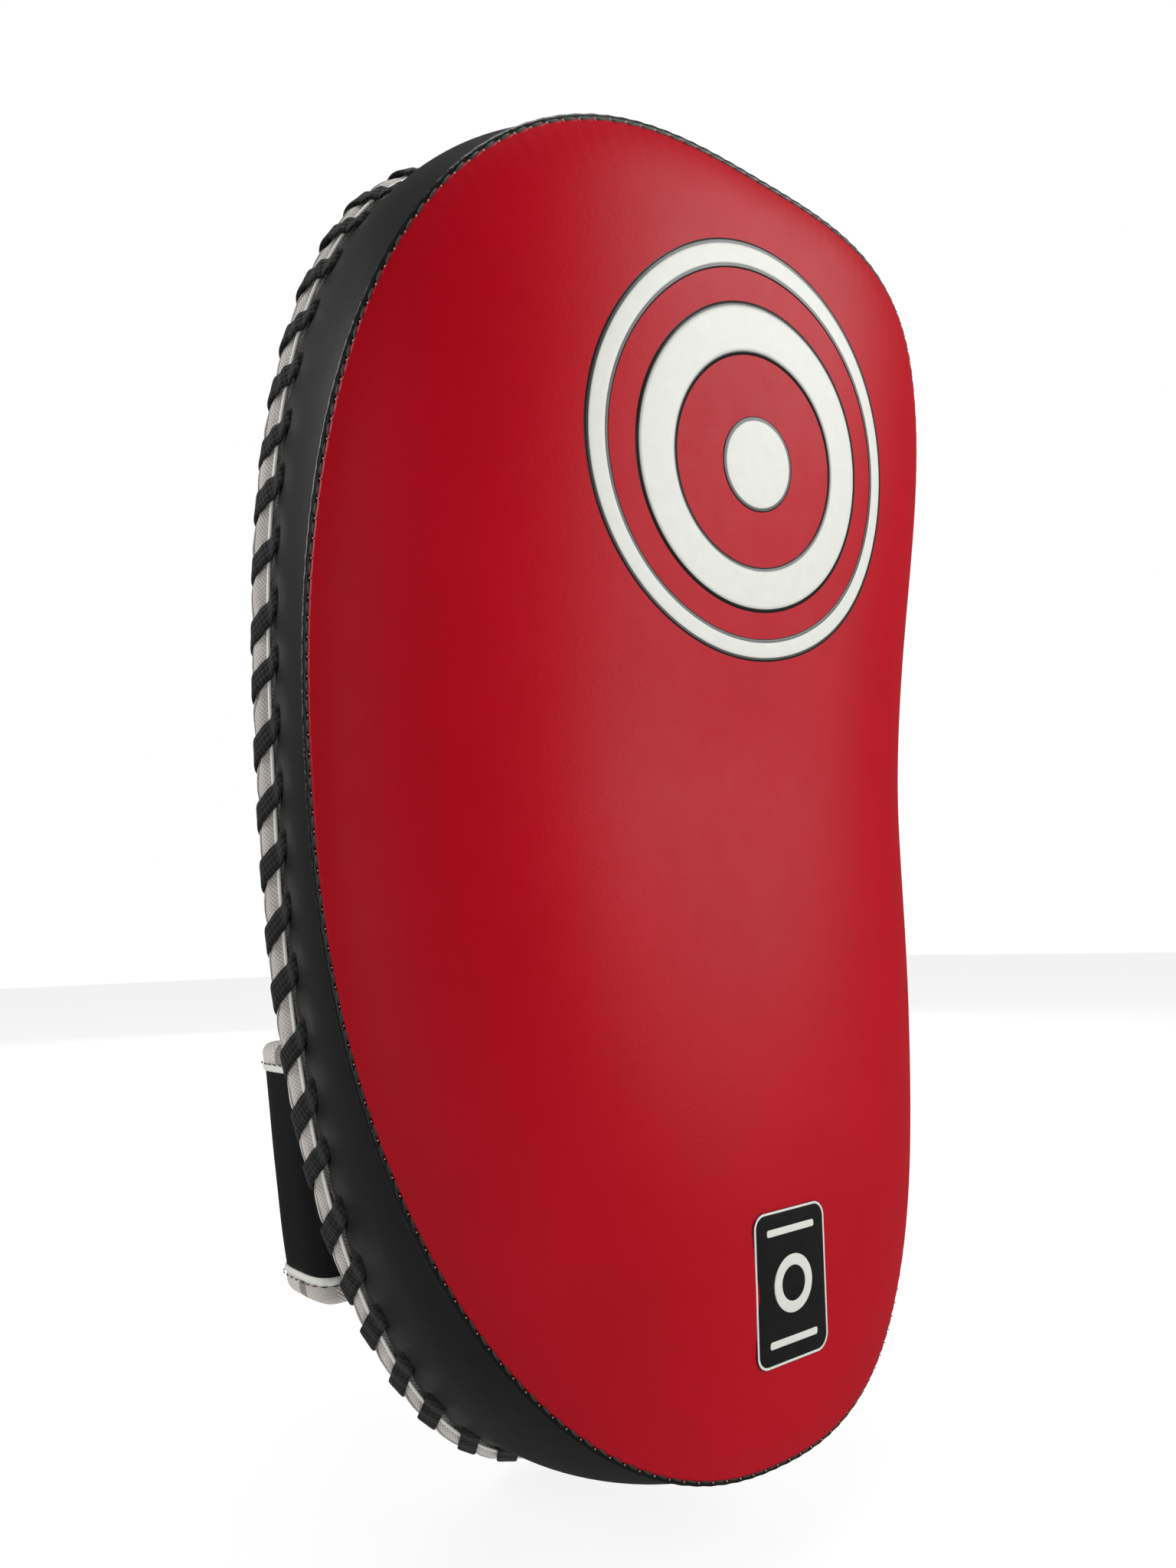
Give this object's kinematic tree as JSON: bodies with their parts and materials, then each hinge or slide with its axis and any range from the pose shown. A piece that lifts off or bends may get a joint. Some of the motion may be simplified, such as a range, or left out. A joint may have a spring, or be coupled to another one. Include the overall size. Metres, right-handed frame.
{
  "type": "thai pad",
  "caption": "Curved foam striking pad worn on the forearm, with laced leather covers, padded arm wings, two hook-and-loop straps and a hand grip.",
  "frame": {"origin": "on the flat forearm seat of the back panel, midway across, about half-way up the pad", "axes": "+Z along the forearm towards the hand, +Y out of the back panel towards the forearm, -Y the striking side, X across the pad"},
  "size_m": [0.2204, 0.183, 0.4071],
  "materials": {
    "red_leather": "smooth grained cowhide, semi-matte",
    "black_leather": "smooth grained cowhide, semi-matte",
    "canvas": "plain-woven cotton piping",
    "white_leather": "smooth white edging",
    "lace": "flat braided lace",
    "foam": "closed-cell foam",
    "label": "printed patch",
    "lining": "woven lining",
    "hook": "hook tape",
    "loop": "loop tape",
    "cord": "twisted cotton cord",
    "core": "turned dowel",
    "steel": "satin"
  },
  "bodies": {
    "pad": {"front_cover": "red_leather", "side_gusset": "black_leather", "back_panel": "black_leather", "front_welt": "black_leather", "edge_strip": "white_leather", "piping_canvas": "canvas", "piping_cord": "cord", "lacing": "lace", "face_label": "label", "impact_foam": "foam", "core_foam": "foam", "rear_foam": "foam", "elbow_strap_root": "black_leather", "right_wing_loop_patch": "loop", "wrist_strap_anchor": "black_leather", "wrist_landing_strip": "black_leather", "wrist_loop_patch": "loop", "grip_core": "core", "grip_foam": "foam", "grip_cover": "black_leather", "grip_end_caps": "steel", "left_handle_tab": "black_leather", "right_handle_tab": "black_leather", "handle_rivets": "steel", "anchor_rivets": "steel", "left_wing_cover": "black_leather", "left_wing_foam": "foam", "left_wing_lower_binding": "canvas", "left_wing_upper_binding": "canvas", "right_wing_cover": "black_leather", "right_wing_foam": "foam", "right_wing_lower_binding": "canvas", "right_wing_upper_binding": "canvas"},
    "elbow_strap": {"elbow_strap_leather": "black_leather", "elbow_strap_lining": "lining"},
    "elbow_tab": {"elbow_tab_leather": "black_leather", "elbow_tab_hook_patch": "hook"},
    "wrist_strap": {"wrist_strap_leather": "black_leather", "wrist_strap_lining": "lining"},
    "wrist_tab": {"wrist_tab_leather": "black_leather", "wrist_tab_hook_patch": "hook"}
  },
  "joints": [
    {"name": "elbow_strap_open", "type": "hinge", "parent": "pad", "child": "elbow_strap", "pos_m": [-0.0698, 0.027, -0.0949], "axis": [-0.0955, 0, 0.9954], "range_deg": [0, 100]},
    {"name": "elbow_tab_peel", "type": "hinge", "parent": "elbow_strap", "child": "elbow_tab", "pos_m": [0.0871, 0.027, -0.0949], "axis": [0.0955, 0, 0.9954], "range_deg": [0, 70]},
    {"name": "wrist_strap_open", "type": "hinge", "parent": "pad", "child": "wrist_strap", "pos_m": [-0.0563, 0.0036, 0.0346], "axis": [0, 0, 1], "range_deg": [0, 85]},
    {"name": "wrist_tab_peel", "type": "hinge", "parent": "wrist_strap", "child": "wrist_tab", "pos_m": [0.0563, 0.0069, 0.0346], "axis": [0, 0, 1], "range_deg": [0, 60]}
  ]
}
